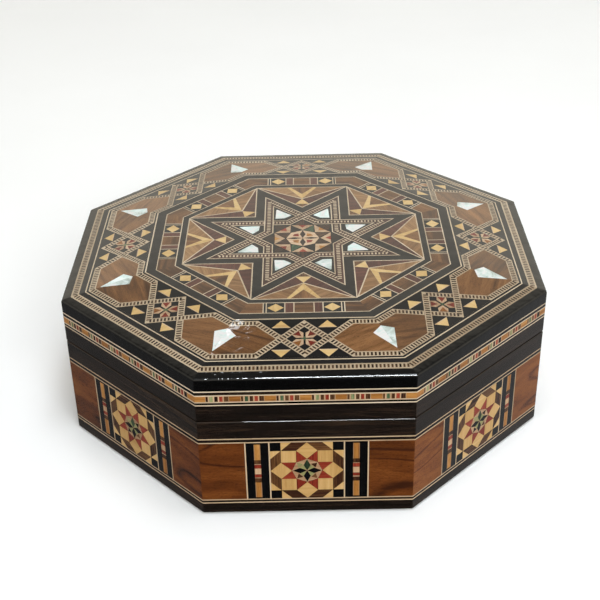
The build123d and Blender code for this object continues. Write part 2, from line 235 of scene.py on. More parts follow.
def flipped(outline, across=1, up=1):
    return [(across * x, up * y) for x, y in outline]


def moved(outline, across, up):
    return [(x + across, y + up) for x, y in outline]


def spun(outline, degrees):
    turn = Matrix.Rotation(math.radians(degrees), 2)
    return [tuple(turn @ Vector(point)) for point in outline]


def signed_area(outline):
    pairs = zip(outline, outline[1:] + outline[:1])
    return sum(a[0] * b[1] - b[0] * a[1] for a, b in pairs) / 2


def anticlockwise(outline):
    return outline if signed_area(outline) > 0 else outline[::-1]


def shrunk(outline, by):
    """Outline with every edge moved in by a distance."""
    points = [Vector(point) for point in anticlockwise(outline)]
    result = []
    for before, here, after in zip(points[-1:] + points[:-1], points, points[1:] + points[:1]):
        into = (here - before).normalized()
        out = (after - here).normalized()
        normals = Vector((-into.y, into.x)) + Vector((-out.y, out.x))
        result.append(tuple(here + normals * by * 2 / max(normals.length_squared, 0.05)))
    return result


def clipped(outline, region):
    """The part of an outline inside a convex region."""
    region = anticlockwise(region)
    for start, end in zip(region, region[1:] + region[:1]):
        edge = Vector(end) - Vector(start)

        def inside(point):
            return edge.x * (point[1] - start[1]) - edge.y * (point[0] - start[0])

        kept = []
        for here, after in zip(outline, outline[1:] + outline[:1]):
            near, far = inside(here), inside(after)
            if near >= 0:
                kept.append(here)
            if near * far < 0:
                kept.append(tuple(Vector(here).lerp(Vector(after), near / (near - far))))
        outline = kept
        if len(outline) < 3:
            return []
    return outline


def rungs(start, end, pitch, size):
    """Small rectangles standing evenly across a line."""
    start, end = Vector(start), Vector(end)
    count = max(1, round((end - start).length / pitch))
    step = (end - start) / count
    along = step.normalized() * size[0] / 2
    across = Vector((-along.y, along.x)).normalized() * size[1] / 2
    for number in range(count):
        middle = start + step * (number + 0.5)
        corners = (-along - across, along - across, along + across, across - along)
        yield [tuple(middle + corner) for corner in corners]


# Places: pattern coordinates and a height over the surface, to a point of the frame

def about_axis(x, y, z, step):
    angle = step * STEP
    cos, sin = math.cos(angle), math.sin(angle)
    return Vector((x * cos - y * sin, x * sin + y * cos, z)) * MM


def on_facet(step):
    def place(across, up, over):
        reach = APOTHEM - up * math.cos(PITCH) + over * math.sin(PITCH)
        height = RIM_Z + up * math.sin(PITCH) + over * math.cos(PITCH)
        return about_axis(across, -reach, height, step)
    return place


def on_panel(step):
    """The flat top, seen from one side: up is the distance from the centre towards that side."""
    def place(across, up, over):
        return about_axis(across, -up, CENTRE_Z + over, step)
    return place


def on_plan(across, up, over):
    return Vector((across, up, CENTRE_Z + over)) * MM


def on_side(step):
    def place(across, up, over):
        return about_axis(across, -APOTHEM - over, up, step)
    return place


def mitre(up):
    """Half-width of a facet at a distance up its slope."""
    return (APOTHEM - up * math.cos(PITCH)) * HALF_TAN


def facet_strip(low, high):
    return [(-mitre(low), low), (mitre(low), low), (mitre(high), high), (-mitre(high), high)]


def panel_strip(inner, outer):
    return [(-outer * HALF_TAN, outer), (outer * HALF_TAN, outer),
            (inner * HALF_TAN, inner), (-inner * HALF_TAN, inner)]


# Pieces

class Veneer:
    """Faces of one kind of wood, each corner with its place along and across the grain."""

    def __init__(self, seed):
        self.random = random.Random(seed)
        self.points = []
        self.faces = []
        self.grain = []
        self.tone = []

    def face(self, points, grain, tone):
        first = len(self.points)
        self.points += points
        self.faces.append(range(first, first + len(points)))
        self.grain += grain
        self.tone += [tone] * len(points)

    def tile(self, outline, place, level=1, grain=0.0, tone=0.0, spread=0.12, gap=GLUE):
        """Flat tile on a placed surface. grain is the direction of its fibres, in degrees."""
        if len(outline) < 3 or abs(signed_area(outline)) < SMALLEST:
            return
        outline = shrunk(outline, gap)
        height = level * LEVEL
        points = [place(x, y, height) for x, y in outline]
        middle = place(*outline[0], height)
        outward = place(*outline[0], height + 1) - middle
        normal = (points[1] - points[0]).cross(points[2] - points[1])
        cos, sin = math.cos(math.radians(grain)), math.sin(math.radians(grain))
        seed = self.random.uniform(0, LOG)
        shade = tone + self.random.uniform(-spread, spread)
        fibres = [(x * cos + y * sin, y * cos - x * sin, seed) for x, y in outline]
        if normal.dot(outward) < 0:
            points.reverse()
            fibres.reverse()
        self.face(points, fibres, shade)

    def sweep(self, profile, spread=0.1, tones=None, worn_and_lit=()):
        """Ring round the case. The closed profile is (apothem, height), anticlockwise from the front.

        tones has one shade for each side. The profile edges numbered in the last argument are made lighter:
        partly rubbed wear, partly a painted highlight.
        """
        rings = []
        for apothem, height in profile:
            ring = []
            radius = max(CORNER_RADIUS - (APOTHEM - apothem), SHARPEST)
            for step in range(SIDES):
                corner = -math.pi / 2 + (step + 0.5) * STEP
                centre = (apothem - radius) / math.cos(STEP / 2)
                for part in CORNER_PARTS:
                    angle = corner + part * STEP / 2
                    x = centre * math.cos(corner) + radius * math.cos(angle)
                    y = centre * math.sin(corner) + radius * math.sin(angle)
                    ring.append(Vector((x, y, height)) * MM)
            rings.append(ring)
        first = len(self.points)
        count = len(rings[0])
        for ring in rings:
            self.points += ring
        lengths = [0.0]
        for a, b in zip(profile, profile[1:] + profile[:1]):
            lengths.append(lengths[-1] + math.dist(a, b))
        shades = tones or [self.random.uniform(-spread, spread) for _ in range(SIDES)]
        seeds = [self.random.uniform(0, LOG) for _ in range(SIDES)]
        for row in range(len(rings)):
            for column in range(count):
                # A side reaches from the middle of one corner's points to the middle of the next
                side = (column + len(CORNER_PARTS) // 2 + 1) // len(CORNER_PARTS) % SIDES
                corners = crossed(row, column, len(rings), count)
                self.faces.append([first + r * count + c for r, c in corners])
                start = rings[row][column]
                after = corners[1][1]
                length = (rings[row][after] - start).length / MM
                along = (start @ self.heading(side)) / MM
                self.grain += [(along, lengths[row], seeds[side]),
                               (along + length, lengths[row], seeds[side]),
                               (along + length, lengths[row + 1], seeds[side]),
                               (along, lengths[row + 1], seeds[side])]
                self.tone += [shades[side] + (WORN_AND_HIGHLIGHT_TONE if row in worn_and_lit else 0)] * 4

    @staticmethod
    def heading(side):
        angle = side * STEP
        return Vector((math.cos(angle), math.sin(angle), 0))

    def mesh(self, name):
        mesh = bpy.data.meshes.new(name)
        mesh.from_pydata(self.points, [], self.faces)
        grain = mesh.attributes.new("wood", "FLOAT_VECTOR", "CORNER")
        grain.data.foreach_set("vector", [value for corner in self.grain for value in corner])
        tone = mesh.attributes.new("tone", "FLOAT", "CORNER")
        tone.data.foreach_set("value", self.tone)
        mesh.update()
        return mesh


def shown(name, mesh, body, material, slot, nodes=(), smooth=0.0):
    """Makes the piece, puts it on its body and hides the CAD nodes that it stands for."""
    piece = added(name, mesh)
    mesh.materials.append(material)
    if smooth:
        mesh.shade_smooth()
        mesh.set_sharp_from_angle(angle=math.radians(smooth))
    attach(piece, body)
    if nodes:
        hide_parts(*nodes)
    return piece


def veneers(first_seed, kinds):
    return {kind: Veneer(first_seed + order) for order, kind in enumerate(kinds.split())}


lid = veneers(100, "black edge brown light rail rung star_ladder walnut purple lemon pearl cream red green"
                   " tan dark orange")
base = veneers(200, "black brown light walnut lemon orange red cream dark green")


# Bands round the sides

def arc(middle, radius, start, end):
    """Profile points on an arc, angles in degrees from outwards, upwards positive."""
    points = []
    for number in range(ARC_STEPS + 1):
        angle = math.radians(start + (end - start) * number / ARC_STEPS)
        points.append((middle[0] + radius * math.cos(angle), middle[1] + radius * math.sin(angle)))
    return points


# Shade of the walnut on each side, from the front towards the right
WALNUT_TONES = (0.0, 0.24, 0.1, -0.08, 0.06, 0.14, -0.1, 0.04)


def plain_band(low, high):
    return [(CORE, low), (APOTHEM, low), (APOTHEM, high), (CORE, high)]


def string_stack(woods, low, high):
    """Two pale strings with a brown one between them."""
    woods["light"].sweep(plain_band(low, low + STRING))
    woods["brown"].sweep(plain_band(low + STRING, high - STRING))
    woods["light"].sweep(plain_band(high - STRING, high))


def base_bands():
    radius = SEAM_RADIUS
    base["brown"].sweep([(CORE, FOOT_LOW)]
                        + arc((APOTHEM - radius, FOOT_LOW + radius), radius, -90, 0)
                        + [(APOTHEM, FOOT_TOP), (CORE, FOOT_TOP)])
    string_stack(base, FOOT_TOP, PANEL_LOW)
    base["walnut"].sweep(plain_band(PANEL_LOW, PANEL_HIGH), tones=WALNUT_TONES)
    string_stack(base, PANEL_HIGH, TOP_BAND_LOW)
    # The seam's rounded top edge is made lighter: partly wear, partly a painted highlight
    base["brown"].sweep([(CORE, TOP_BAND_LOW), (APOTHEM, TOP_BAND_LOW)]
                        + arc((APOTHEM - radius, SEAM_Z - radius), radius, 0, 90)
                        + [(CORE, SEAM_Z)], worn_and_lit=range(3, 2 + ARC_STEPS))


def lid_bands():
    radius = SEAM_RADIUS - SEAM_GAP / 2
    # Strip closing the back of the slot under the lid, darkened as painted shade
    lid["brown"].sweep([(CORE, SEAM_Z), (CORE + LEVEL, SEAM_Z), (CORE + LEVEL, SEAM_Z + SEAM_GAP),
                        (CORE, SEAM_Z + SEAM_GAP)], tones=(SLOT_PAINTED_SHADE,) * SIDES)
    lid["brown"].sweep([(CORE, SEAM_Z + SEAM_GAP)]
                       + arc((APOTHEM - radius, SEAM_Z + SEAM_GAP + radius), radius, -90, 0)
                       + [(APOTHEM, LID_BAND_TOP), (CORE, LID_BAND_TOP)])
    string_stack(lid, LID_BAND_TOP, MOSAIC_LOW)
    lid["orange"].sweep(plain_band(MOSAIC_LOW, MOSAIC_HIGH))
    string_stack(lid, MOSAIC_HIGH, EDGE_BAND_LOW)
    slope = math.degrees(PITCH)
    radius = ARRIS_RADIUS
    drop = radius / math.cos(PITCH) - radius * math.tan(PITCH)
    reach = APOTHEM - EDGE_TOP * math.cos(PITCH)
    top = RIM_Z + EDGE_TOP * math.sin(PITCH)
    lid["edge"].sweep([(CORE, EDGE_BAND_LOW), (APOTHEM, EDGE_BAND_LOW)]
                      + arc((APOTHEM - radius, RIM_Z - drop), radius, 0, 90 - slope)
                      + [(reach, top), (reach, top - VENEER)])


# Mosaic band: widths of one run of tiles after each yellow one
MOSAIC_RUN = (("rail", 0.15), ("dark", 0.85), ("cream", 0.55), ("green", 1.3), ("cream", 0.55),
              ("dark", 1.3), ("cream", 0.5), ("red", 1.3), ("cream", 0.45), ("dark", 1.75), ("rail", 0.2))
MOSAIC_TONES = {"cream": -0.05, "green": 0.15, "rail": -0.2}
MOSAIC_YELLOW = 4.3
MOSAIC_RUNS = 6
MOSAIC_MARGIN = 0.05


def mosaic(step):
    place = on_side(step)
    run = sum(width for _, width in MOSAIC_RUN)
    at = -(MOSAIC_RUNS * run + (MOSAIC_RUNS - 1) * MOSAIC_YELLOW) / 2
    slips = (MOSAIC_RUN + (("orange", MOSAIC_YELLOW),)) * MOSAIC_RUNS
    for kind, width in slips[:-1]:
        outline = rectangle(at, at + width, MOSAIC_LOW + MOSAIC_MARGIN, MOSAIC_HIGH - MOSAIC_MARGIN)
        grain = 0 if kind == "orange" else 90
        lid[kind].tile(outline, place, 1, grain, MOSAIC_TONES.get(kind, 0.0), spread=0.2, gap=0.03)
        at += width


# Side panels

STRIP_TILES = (("orange", 7.65), ("dark", 1.9), ("cream", 0.35), ("red", 1.8), ("cream", 2.9),
               ("red", 1.5), ("cream", 0.5), ("dark", 2.0), ("orange", 7.6))


def side_strips(step):
    place = on_side(step)
    for way in (-1, 1):
        for edge in (STAR_HALF, STRIP_OUT):
            upright = rectangle(edge, edge + UPRIGHT, PANEL_LOW, PANEL_HIGH)
            base["light"].tile(flipped(upright, way), place, 2, 90, gap=0)
        strip = rectangle(STAR_HALF + UPRIGHT, STRIP_OUT, PANEL_LOW, PANEL_HIGH)
        base["black"].tile(flipped(strip, way), place, 1, 90, gap=0)
        middle = way * (STAR_HALF + UPRIGHT + STRIP_OUT) / 2
        margin = (PANEL_HIGH - PANEL_LOW - sum(height for _, height in STRIP_TILES)) / 2
        top = PANEL_HIGH - margin
        half = STRIP_COLUMN / 2
        for kind, height in STRIP_TILES:
            tile = rectangle(middle - half, middle + half, top - height, top)
            base[kind].tile(tile, place, 2, 90, spread=0.15, gap=0.05)
            if kind == "orange":
                for edge in (-half, half - SLIVER):
                    sliver = rectangle(middle + edge, middle + edge + SLIVER, top - height, top)
                    base["cream"].tile(sliver, place, 3, 90, tone=-0.25, gap=0.05)
            top -= height


def side_star(step):
    """Eight squares in a ring with triangles between them, in a square panel."""
    middle = (PANEL_LOW + PANEL_HIGH) / 2
    squeeze = (PANEL_HIGH - PANEL_LOW) / 2 / STAR_HALF
    ring = STAR_HALF / math.sqrt(2)
    small = STAR_HALF - ring
    inner = ring - small
    plain = on_side(step)

    def place(across, up, over):
        return plain(across, middle + up * squeeze, over)

    frame_square = rectangle(-STAR_HALF, STAR_HALF, -STAR_HALF, STAR_HALF)
    base["black"].tile(frame_square, place, 1, gap=0)
    point = [(0, STAR_HALF), (small, ring), (0, inner), (-small, ring)]
    square = rectangle(small, ring, small, ring)
    red = [(ring, small), (inner, 0), (small, small)]
    slant = [(0, STAR_HALF), (small, ring), (ring, ring), (inner, STAR_HALF)]
    corner = [(inner, STAR_HALF), (ring, ring), (ring, STAR_HALF)]
    for quarter in range(4):
        turn = 90 * quarter
        base["lemon"].tile(spun(point, turn), place, 2, turn)
        base["lemon"].tile(spun(square, turn), place, 2, 90)
        for mirror in (1, -1):
            base["red"].tile(spun(flipped(red, 1, mirror), turn), place, 2, turn)
            base["dark"].tile(spun(flipped(slant, mirror), turn), place, 2, turn, tone=0.08)
            base["lemon"].tile(spun(flipped(corner, mirror), turn), place, 2, turn, tone=0.1)
    base["cream"].tile(regular(inner), place, 2, tone=-0.15)
    reach, across, up = SMALL_KITE
    kite = [(0, inner * reach), (-across, up), (0, 0), (across, up)]
    arrow = [polar(SMALL_ARROW_TIP, 45)] + SMALL_ARROW
    kite_woods = (("green", -0.2), ("black", 0.0), ("black", 0.15), ("black", 0.0))
    arrow_woods = (("dark", -0.1), ("green", 0.35), ("dark", -0.1), ("dark", 0.2))
    for quarter in range(4):
        turn = 90 * quarter
        kind, tone = kite_woods[quarter]
        base[kind].tile(spun(kite, turn), place, 3, 90, tone, gap=0.02)
        kind, tone = arrow_woods[quarter]
        base[kind].tile(spun(arrow, turn), place, 3, 45, tone, gap=0.02)
        base["green"].tile(spun(SMALL_HEART, turn), place, 3, 45, tone=0.45, gap=0.02)


# Sloped facets of the lid

def ladder(place, start, end, region):
    """Short dark cells across a pale strip, along the line through its middle, cut to a region."""
    for cell in rungs(start, end, LADDER_PITCH, LADDER_CELL):
        lid["rung"].tile(clipped(cell, region), place, 2, spread=0.3, gap=0)


def facet_borders(step):
    place = on_facet(step)
    low, high = BORDER_LADDER
    middle = (low + high) / 2
    strip = facet_strip(low, high)
    lid["rail"].tile(strip, place, tone=-0.2, gap=0)
    ladder(place, (-mitre(middle), middle), (mitre(middle), middle), strip)
    lid["light"].tile(facet_strip(*BORDER_STRING), place, gap=0)
    lid["light"].tile(facet_strip(*CREASE_STRING), place, gap=0)


def on_chain(outline, across=1, up=1, centre=0.0):
    """Outline drawn about the middle of the chain, mirrored and put in its place on the facet."""
    return moved(flipped(outline, across, up), centre, CHAIN_MID)


def chain(step):
    """Two zigzag ladder strips that cross twice, and the run that joins them to the next facet."""
    place = on_facet(step)
    low, high = CHAIN
    half_high = CHAIN_MID - low
    lid["rail"].tile(facet_strip(low, high), place, 1, tone=-0.15, gap=0)
    outer = 2 * CROSSING
    corner = (outer + CHAIN_WIDTH * HALF_TAN, half_high - CHAIN_WIDTH)
    top = (outer, half_high)
    below, above = (0, -half_high), (0, 2 * CHAIN_HALF - half_high)
    over = [[below, corner, top, above]]
    under = [[below, (CROSSING, -CHAIN_HALF), (CROSSING - CHAIN_HALF, 0), above],
             [(CROSSING + CHAIN_HALF, 0), corner, top, (CROSSING, CHAIN_HALF)]]
    line_end = (corner[0] / 2 + outer / 2, corner[1] / 2 + half_high / 2)
    cells = list(rungs((0, CHAIN_HALF - half_high), line_end, LADDER_PITCH, LADDER_CELL))
    for across in (-1, 1):
        for up in (-1, 1):
            for part in over if across == up else under:
                for cell in cells:
                    cut = clipped(on_chain(cell, across, up), on_chain(part, across, up))
                    lid["rung"].tile(cut, place, 2, spread=0.3, gap=0)
        for edge, inner in ((high, high - CHAIN_WIDTH), (low, low + CHAIN_WIDTH)):
            run = [(across * outer, edge), (across * corner[0], inner),
                   (across * mitre(inner), inner), (across * mitre(edge), edge)]
            middle = (edge + inner) / 2
            ladder(place, (across * (outer + corner[0]) / 2, middle), (across * mitre(middle), middle), run)


def chain_fields(step):
    """Woods and shell in the spaces of the chain."""
    place = on_facet(step)
    half_high = CHAIN_MID - CHAIN[0]
    reach = half_high - CHAIN_WIDTH
    diamond = CROSSING - CHAIN_HALF
    lozenge = [(-diamond, 0), (0, -diamond), (diamond, 0), (0, diamond)]
    lid["black"].tile(on_chain(lozenge), place, 2, gap=0)
    far = half_high - CHAIN_HALF
    gusset = [(0, CHAIN_HALF), (far, half_high), (-far, half_high)]
    tip = half_high - LEMON_MARGIN
    wide, deep = LEMON_BASE
    narrow, shallow = LEMON_EDGE
    foot = [(-wide, tip - deep), (wide, tip - deep)]
    edge = foot + [(narrow, tip - shallow), (-narrow, tip - shallow)]
    right = CROSSING + CHAIN_HALF
    hexagon = [(right, 0), (right + reach, -reach), (mitre(CHAIN_MID - reach), -reach),
               (mitre(CHAIN_MID + reach), reach), (right + reach, reach)]
    inner, outer = KITE_ENDS
    wide_at, set_in, shoulder = KITE_SHOULDER
    kite = [(mitre(inner), inner), (mitre(wide_at) - set_in, shoulder), (mitre(outer), outer)]
    for across in (-1, 1):
        centre = across * CROSSING
        for up in (-1, 1):
            lid["black"].tile(on_chain(gusset, 1, up, centre), place, 2, gap=0)
            lid["lemon"].tile(on_chain(foot + [(0, tip)], 1, up, centre), place, 3, 90 * step, gap=0.02)
            lid["cream"].tile(on_chain(edge, 1, up, centre), place, 4, gap=0)
        lid["walnut"].tile(on_chain(hexagon, across), place, 2, CARTOUCHE_GRAIN * across, tone=0.1 * across,
                           spread=0.06, gap=0)
        lid["pearl"].tile(flipped(kite, across), place, 3, tone=0.05 * across, gap=0)
    for across in (-1, 1):
        for up in (-1, 1):
            lid["cream"].tile(on_chain(PETAL, across, up), place, 3, 45, tone=-0.2, gap=0)
            core = "orange" if (across, up) == (-1, -1) else "red"
            lid[core].tile(on_chain(PETAL_CORE, across, up), place, 4, 45, tone=-0.25, gap=0)
    star = [point for number in range(4)
            for point in (polar(FLOWER_EYE[0], 90 * number), polar(FLOWER_EYE[1], 90 * number + 45))]
    lid["green"].tile(on_chain(star), place, 3, gap=0)


# Flat panel of the lid

def ring(step):
    place = on_panel(step)
    for inner, outer in RING_STRINGS:
        lid["light"].tile(panel_strip(inner, outer), place, gap=0)
    low, high = TILE_BAND
    middle = (low + high) / 2
    first, second, third, fourth = RING_JOINTS
    half = CROSS_STRING / 2
    lid["walnut"].tile(rectangle(-first, first, low, high), place, grain=0, tone=-0.15, gap=0)
    for way in (-1, 1):
        lid["purple"].tile(flipped(rectangle(first, second, low, high), way), place, grain=90, gap=0)
        centre = way * (second + third) / 2
        lid["lemon"].tile(moved(RING_DIAMOND, centre, middle), place, 1, 90, gap=0)
        corner = [(fourth, low), (low * HALF_TAN, low), (high * HALF_TAN, high), (fourth, high)]
        lid["walnut"].tile(flipped(corner, way), place, grain=0, tone=-0.15, gap=0)
        for joint in RING_JOINTS:
            line = rectangle(joint - half, joint + half, low, high)
            lid["light"].tile(flipped(line, way), place, 2, 90, gap=0)


def field_triangle(step):
    plain = on_panel(step)

    def place(across, up, over):
        return plain(across, FIELD - up, over)

    lid["light"].tile([(-TRIANGLE_HALF, 0), (TRIANGLE_HALF, 0), (0, TRIANGLE_HALF)], place, gap=0)
    foot = TRIANGLE_HALF - TRIANGLE_STRING * math.sqrt(2)
    shoulder = (foot - SHOULDER, SHOULDER)
    shoulders = [(-shoulder[0], shoulder[1]), shoulder]
    lid["dark"].tile(shoulders + [(0, foot)], place, 2, 90, tone=0.2)
    lid["lemon"].tile(shoulders + [(0, HUB)], place, 2, 90)
    spoke_foot, spoke_hub = foot - SPOKE[0], (0, HUB - SPOKE[1])
    leg_out, leg_in = LEG
    for way in (-1, 1):
        wing = [(0, HUB), shoulder, (foot, 0)]
        lid["purple"].tile(flipped(wing, way), place, 2, 45 * way)
        spoke = [(0, HUB), (foot, 0), (spoke_foot, 0), spoke_hub]
        lid["light"].tile(flipped(spoke, way), place, 3, gap=0)
        fan = [spoke_hub, (spoke_foot, 0), (leg_out, 0)]
        lid["tan"].tile(flipped(fan, way), place, 2, 30 * way)
        leg = [spoke_hub, (leg_out, 0), (leg_in, 0), (0, LEG_TOP)]
        lid["lemon"].tile(flipped(leg, way), place, 3, 60 * way, gap=0.02)
    lid["walnut"].tile([(-leg_in, 0), (leg_in, 0), (0, LEG_TOP)], place, 2, 90)


def star_strip(place, region):
    """Dark strip between two pale strings, with pale bars across it."""
    lid["star_ladder"].tile(region, place, 1, gap=0)
    reach = max(abs(x) for x, _ in region)
    for low, high in ((STAR_IN, STAR_IN + STAR_STRING), (STAR_OUT - STAR_STRING, STAR_OUT)):
        line = clipped(rectangle(-reach, reach, low, high), region)
        lid["light"].tile(line, place, 2, gap=0)


def star_arm(step):
    """The two arms of one line of the star. The arm towards -X passes over, the other under."""
    place = on_panel(step)
    inner, outer = STAR_IN, STAR_OUT
    bend = HALF_TAN
    tip = math.tan(3 * STEP / 2)
    over = [(-inner * bend, inner), (-outer * bend, outer), (-outer * tip, outer), (-inner * tip, inner)]
    near = [(inner * bend, inner), (outer * bend, outer), (inner, outer), (inner, inner)]
    far = [(outer, inner), (outer, outer), (outer * tip, outer), (inner * tip, inner)]
    middle = (inner + outer) / 2
    for region in (over, near, far):
        star_strip(place, region)
    for way in (-1, 1):
        bars = rungs((way * middle * bend, middle), (way * middle * tip, middle), STAR_PITCH, STAR_BAR)
        for bar in bars:
            for region in ((over,) if way < 0 else (near, far)):
                lid["light"].tile(clipped(bar, region), place, 2, 90, tone=-0.1, gap=0)


def dart(step):
    outline = [polar(DART_HEEL, 0)]
    outline += [polar(radius, -degrees) for radius, degrees in DART_EDGE]
    outline += [polar(radius, degrees) for radius, degrees in reversed(DART_EDGE)]
    lid["pearl"].tile(spun(outline, HALF_TURN + TURN * step), on_plan, 1, gap=0)


def ground(step):
    """Black wood under the inlay of one facet and of its part of the flat panel."""
    lid["black"].tile(facet_strip(EDGE_TOP, SLOPE), on_facet(step), 0, gap=0)
    lid["black"].tile([(0, 0), (-CREASE * HALF_TAN, CREASE), (CREASE * HALF_TAN, CREASE)],
                      on_panel(step), 0, gap=0)


def rosette():
    place = on_plan
    corner = STAR_IN * math.sqrt(2) - ROSE_MARGINS[0]
    between = STAR_IN / math.cos(STEP / 2) - ROSE_MARGINS[1]
    outline = [point for number in range(SIDES)
               for point in (polar(corner, TURN * number), polar(between, TURN * number + HALF_TURN))]
    lid["black"].tile(outline, place, 1, gap=0)
    tip, shoulder, spread = ROSE_POINT
    core_foot, core_half, core_tip = ROSE_CORE
    wedge_tip, wedge_start, wedge_end = ROSE_WEDGE
    for number in range(SIDES):
        axis = TURN * number
        left, right = polar(ROSE_JOINT, axis - HALF_TURN), polar(ROSE_JOINT, axis + HALF_TURN)
        point = [polar(shoulder, axis - spread), polar(tip, axis), polar(shoulder, axis + spread)]
        lid["dark"].tile(point, place, 2, axis, tone=-0.2)
        lid["cream"].tile([left, polar(ROSE_NOTCH, axis), right], place, 2, axis, tone=-0.1)
        core = spun([(core_foot, -core_half), (core_foot, core_half), (core_tip, 0)], axis)
        lid[("red", "orange", "red")[number % 3]].tile(core, place, 3, axis, spread=0.2)
        wedge = [polar(wedge_tip, axis + HALF_TURN), polar(ROSE_EYE, axis + wedge_start),
                 polar(ROSE_EYE, axis + wedge_end)]
        kind = ("dark", "green", "black", "dark")[number % 4]
        lid[kind].tile(wedge, place, 3, axis + HALF_TURN, tone=-0.1)
    lid["cream"].tile(regular(ROSE_EYE), place, 4)
    side, aside, far, near = EYE_CORE
    for quarter in range(4):
        turn = 90 * quarter
        half = EYE_RHOMBS[quarter % 2]
        rhomb = [(0, 0), (ROSE_EYE / 2, half), (ROSE_EYE, 0), (ROSE_EYE / 2, -half)]
        lid["dark"].tile(spun(rhomb, turn), place, 5, turn, tone=-0.3, gap=0)
        core = [polar(side, 45 - aside), polar(far, 45), polar(side, 45 + aside), polar(near, 45)]
        lid[("orange", "red")[quarter % 2]].tile(spun(core, turn), place, 5, 45, gap=0)


# Sloped cut along the back seam

def bevelled(mesh, way):
    """Cuts the back edge of the lid, way +1, or of the base, way -1, as the CAD does."""
    with edited(mesh) as work:
        cut = bmesh.ops.bisect_plane(work, geom=work.verts[:] + work.edges[:] + work.faces[:],
                                     plane_co=Vector((0, BEVEL_APEX, SEAM_Z)) * MM,
                                     plane_no=(0, math.sin(BEVEL_ANGLE), -way * math.cos(BEVEL_ANGLE)),
                                     clear_outer=True)
        edges = [item for item in cut["geom_cut"] if isinstance(item, bmesh.types.BMEdge)]
        bmesh.ops.holes_fill(work, edges=edges)


# Velvet lining

def soft_ring(apothem, height, pull):
    """Octagon whose sides are moved in between the corners."""
    points = []
    for step in range(SIDES):
        for column in range(SOFT_COLUMNS):
            across = 2 * column / SOFT_COLUMNS - 1
            inward = pull * (1 - across ** 2)
            points.append(about_axis(across * apothem * HALF_TAN, inward - apothem, height, step))
    return points


def loft(name, rings, ends):
    """Closed form through rings of points: its ends are capped, or else the last ring joins the first."""
    count = len(rings[0])
    faces = []
    for row in range(len(rings) - 1 if ends else len(rings)):
        for column in range(count):
            faces.append([r * count + c for r, c in crossed(row, column, len(rings), count)])
    if ends:
        faces.append(range(count - 1, -1, -1))
        faces.append(range((len(rings) - 1) * count, len(rings) * count))
    mesh = bpy.data.meshes.new(name)
    mesh.from_pydata([point for ring_points in rings for point in ring_points], [], faces)
    with edited(mesh) as work:
        bmesh.ops.recalc_face_normals(work, faces=work.faces)
    return mesh


PUFF_PRESSURE = 2.0
PUFF_FRAMES = 20
PUFF_LIMIT = 1.6           # farthest a point of a pad may rise


def puffed(mesh, held):
    """Blows the mesh up with Cloth, the points numbered in held staying where they are."""
    start = [vertex.co.copy() for vertex in mesh.vertices]
    pad = added(mesh.name, mesh)
    pad.vertex_groups.new(name="held").add(held, 1.0, "REPLACE")
    cloth_modifier = pad.modifiers.new("cloth", "CLOTH")
    cloth_modifier.collision_settings.use_collision = False
    settings = cloth_modifier.settings
    settings.vertex_group_mass = "held"
    settings.use_pressure = True
    settings.uniform_pressure_force = PUFF_PRESSURE
    settings.effector_weights.gravity = 0
    for frame_number in range(1, PUFF_FRAMES + 1):
        bpy.context.scene.frame_set(frame_number)
    blown = bpy.data.meshes.new_from_object(pad.evaluated_get(bpy.context.evaluated_depsgraph_get()))
    bpy.data.objects.remove(pad)
    bpy.context.scene.frame_set(1)
    for vertex, place in zip(blown.vertices, start):
        move = vertex.co - place
        if move.length > PUFF_LIMIT * MM:
            vertex.co = place + move.normalized() * PUFF_LIMIT * MM
    with edited(blown) as work:
        bmesh.ops.smooth_vert(work, verts=work.verts, factor=0.5, use_axis_z=True)
        bmesh.ops.subdivide_edges(work, edges=work.edges, cuts=1, smooth=0.5, use_grid_fill=True)
    return blown


def velvet_pad(name, node, body, way):
    """Stuffed pad lying on the floor board, way +1, or hanging under the top board, way -1."""
    low, high = heights(node)
    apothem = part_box(node)[1].x / MM
    board, face = (low, high) if way > 0 else (high, low)
    edge = face - way * ROUNDING * (high - low)
    rings = [soft_ring(apothem * part, board, PULL) for part in BACK_RINGS]
    rings.append(soft_ring(apothem, (board + edge) / 2, PULL))
    held = range(len(rings) * SIDES * SOFT_COLUMNS)
    rings += [soft_ring(apothem * (1 - RING_SPACING * number), edge, PULL) for number in range(FACE_RINGS)]
    mesh = puffed(loft(name, rings, ends=True), held)
    mesh.name = name
    mesh.materials.clear()
    pad = shown(name, mesh, body, VELVET, "velvet", (node,), smooth=50)


def velvet_wall(name, node, body, below=0.0, above=0.0):
    """Thin padded band on the inside of the walls, fullest in the middle of each side.

    below and above are how far it is tucked behind the edge of a pad.
    """
    low, high = heights(node)
    low -= below
    high += above
    rings = [soft_ring(INSIDE - off, low + along, 0) for off, along in WALL_EDGE]
    for row in range(1, WALL_ROWS):
        part = row / WALL_ROWS
        bulge = WALL_BULGE * math.sin(math.pi * part)
        rings.append(soft_ring(INSIDE - WALL_DEPTH, low + part * (high - low), bulge))
    rings += [soft_ring(INSIDE - off, high - along, 0) for off, along in reversed(WALL_EDGE)]
    band = shown(name, loft(name, rings, ends=False), body, VELVET, "velvet", (node,), smooth=30)


# Materials

def linear(red, green, blue):
    """Screen colour, 0 to 255, as the shader's colour."""
    def channel(value):
        value /= 255
        return value / 12.92 if value <= 0.04045 else ((value + 0.055) / 1.055) ** 2.4
    return (channel(red), channel(green), channel(blue), 1.0)


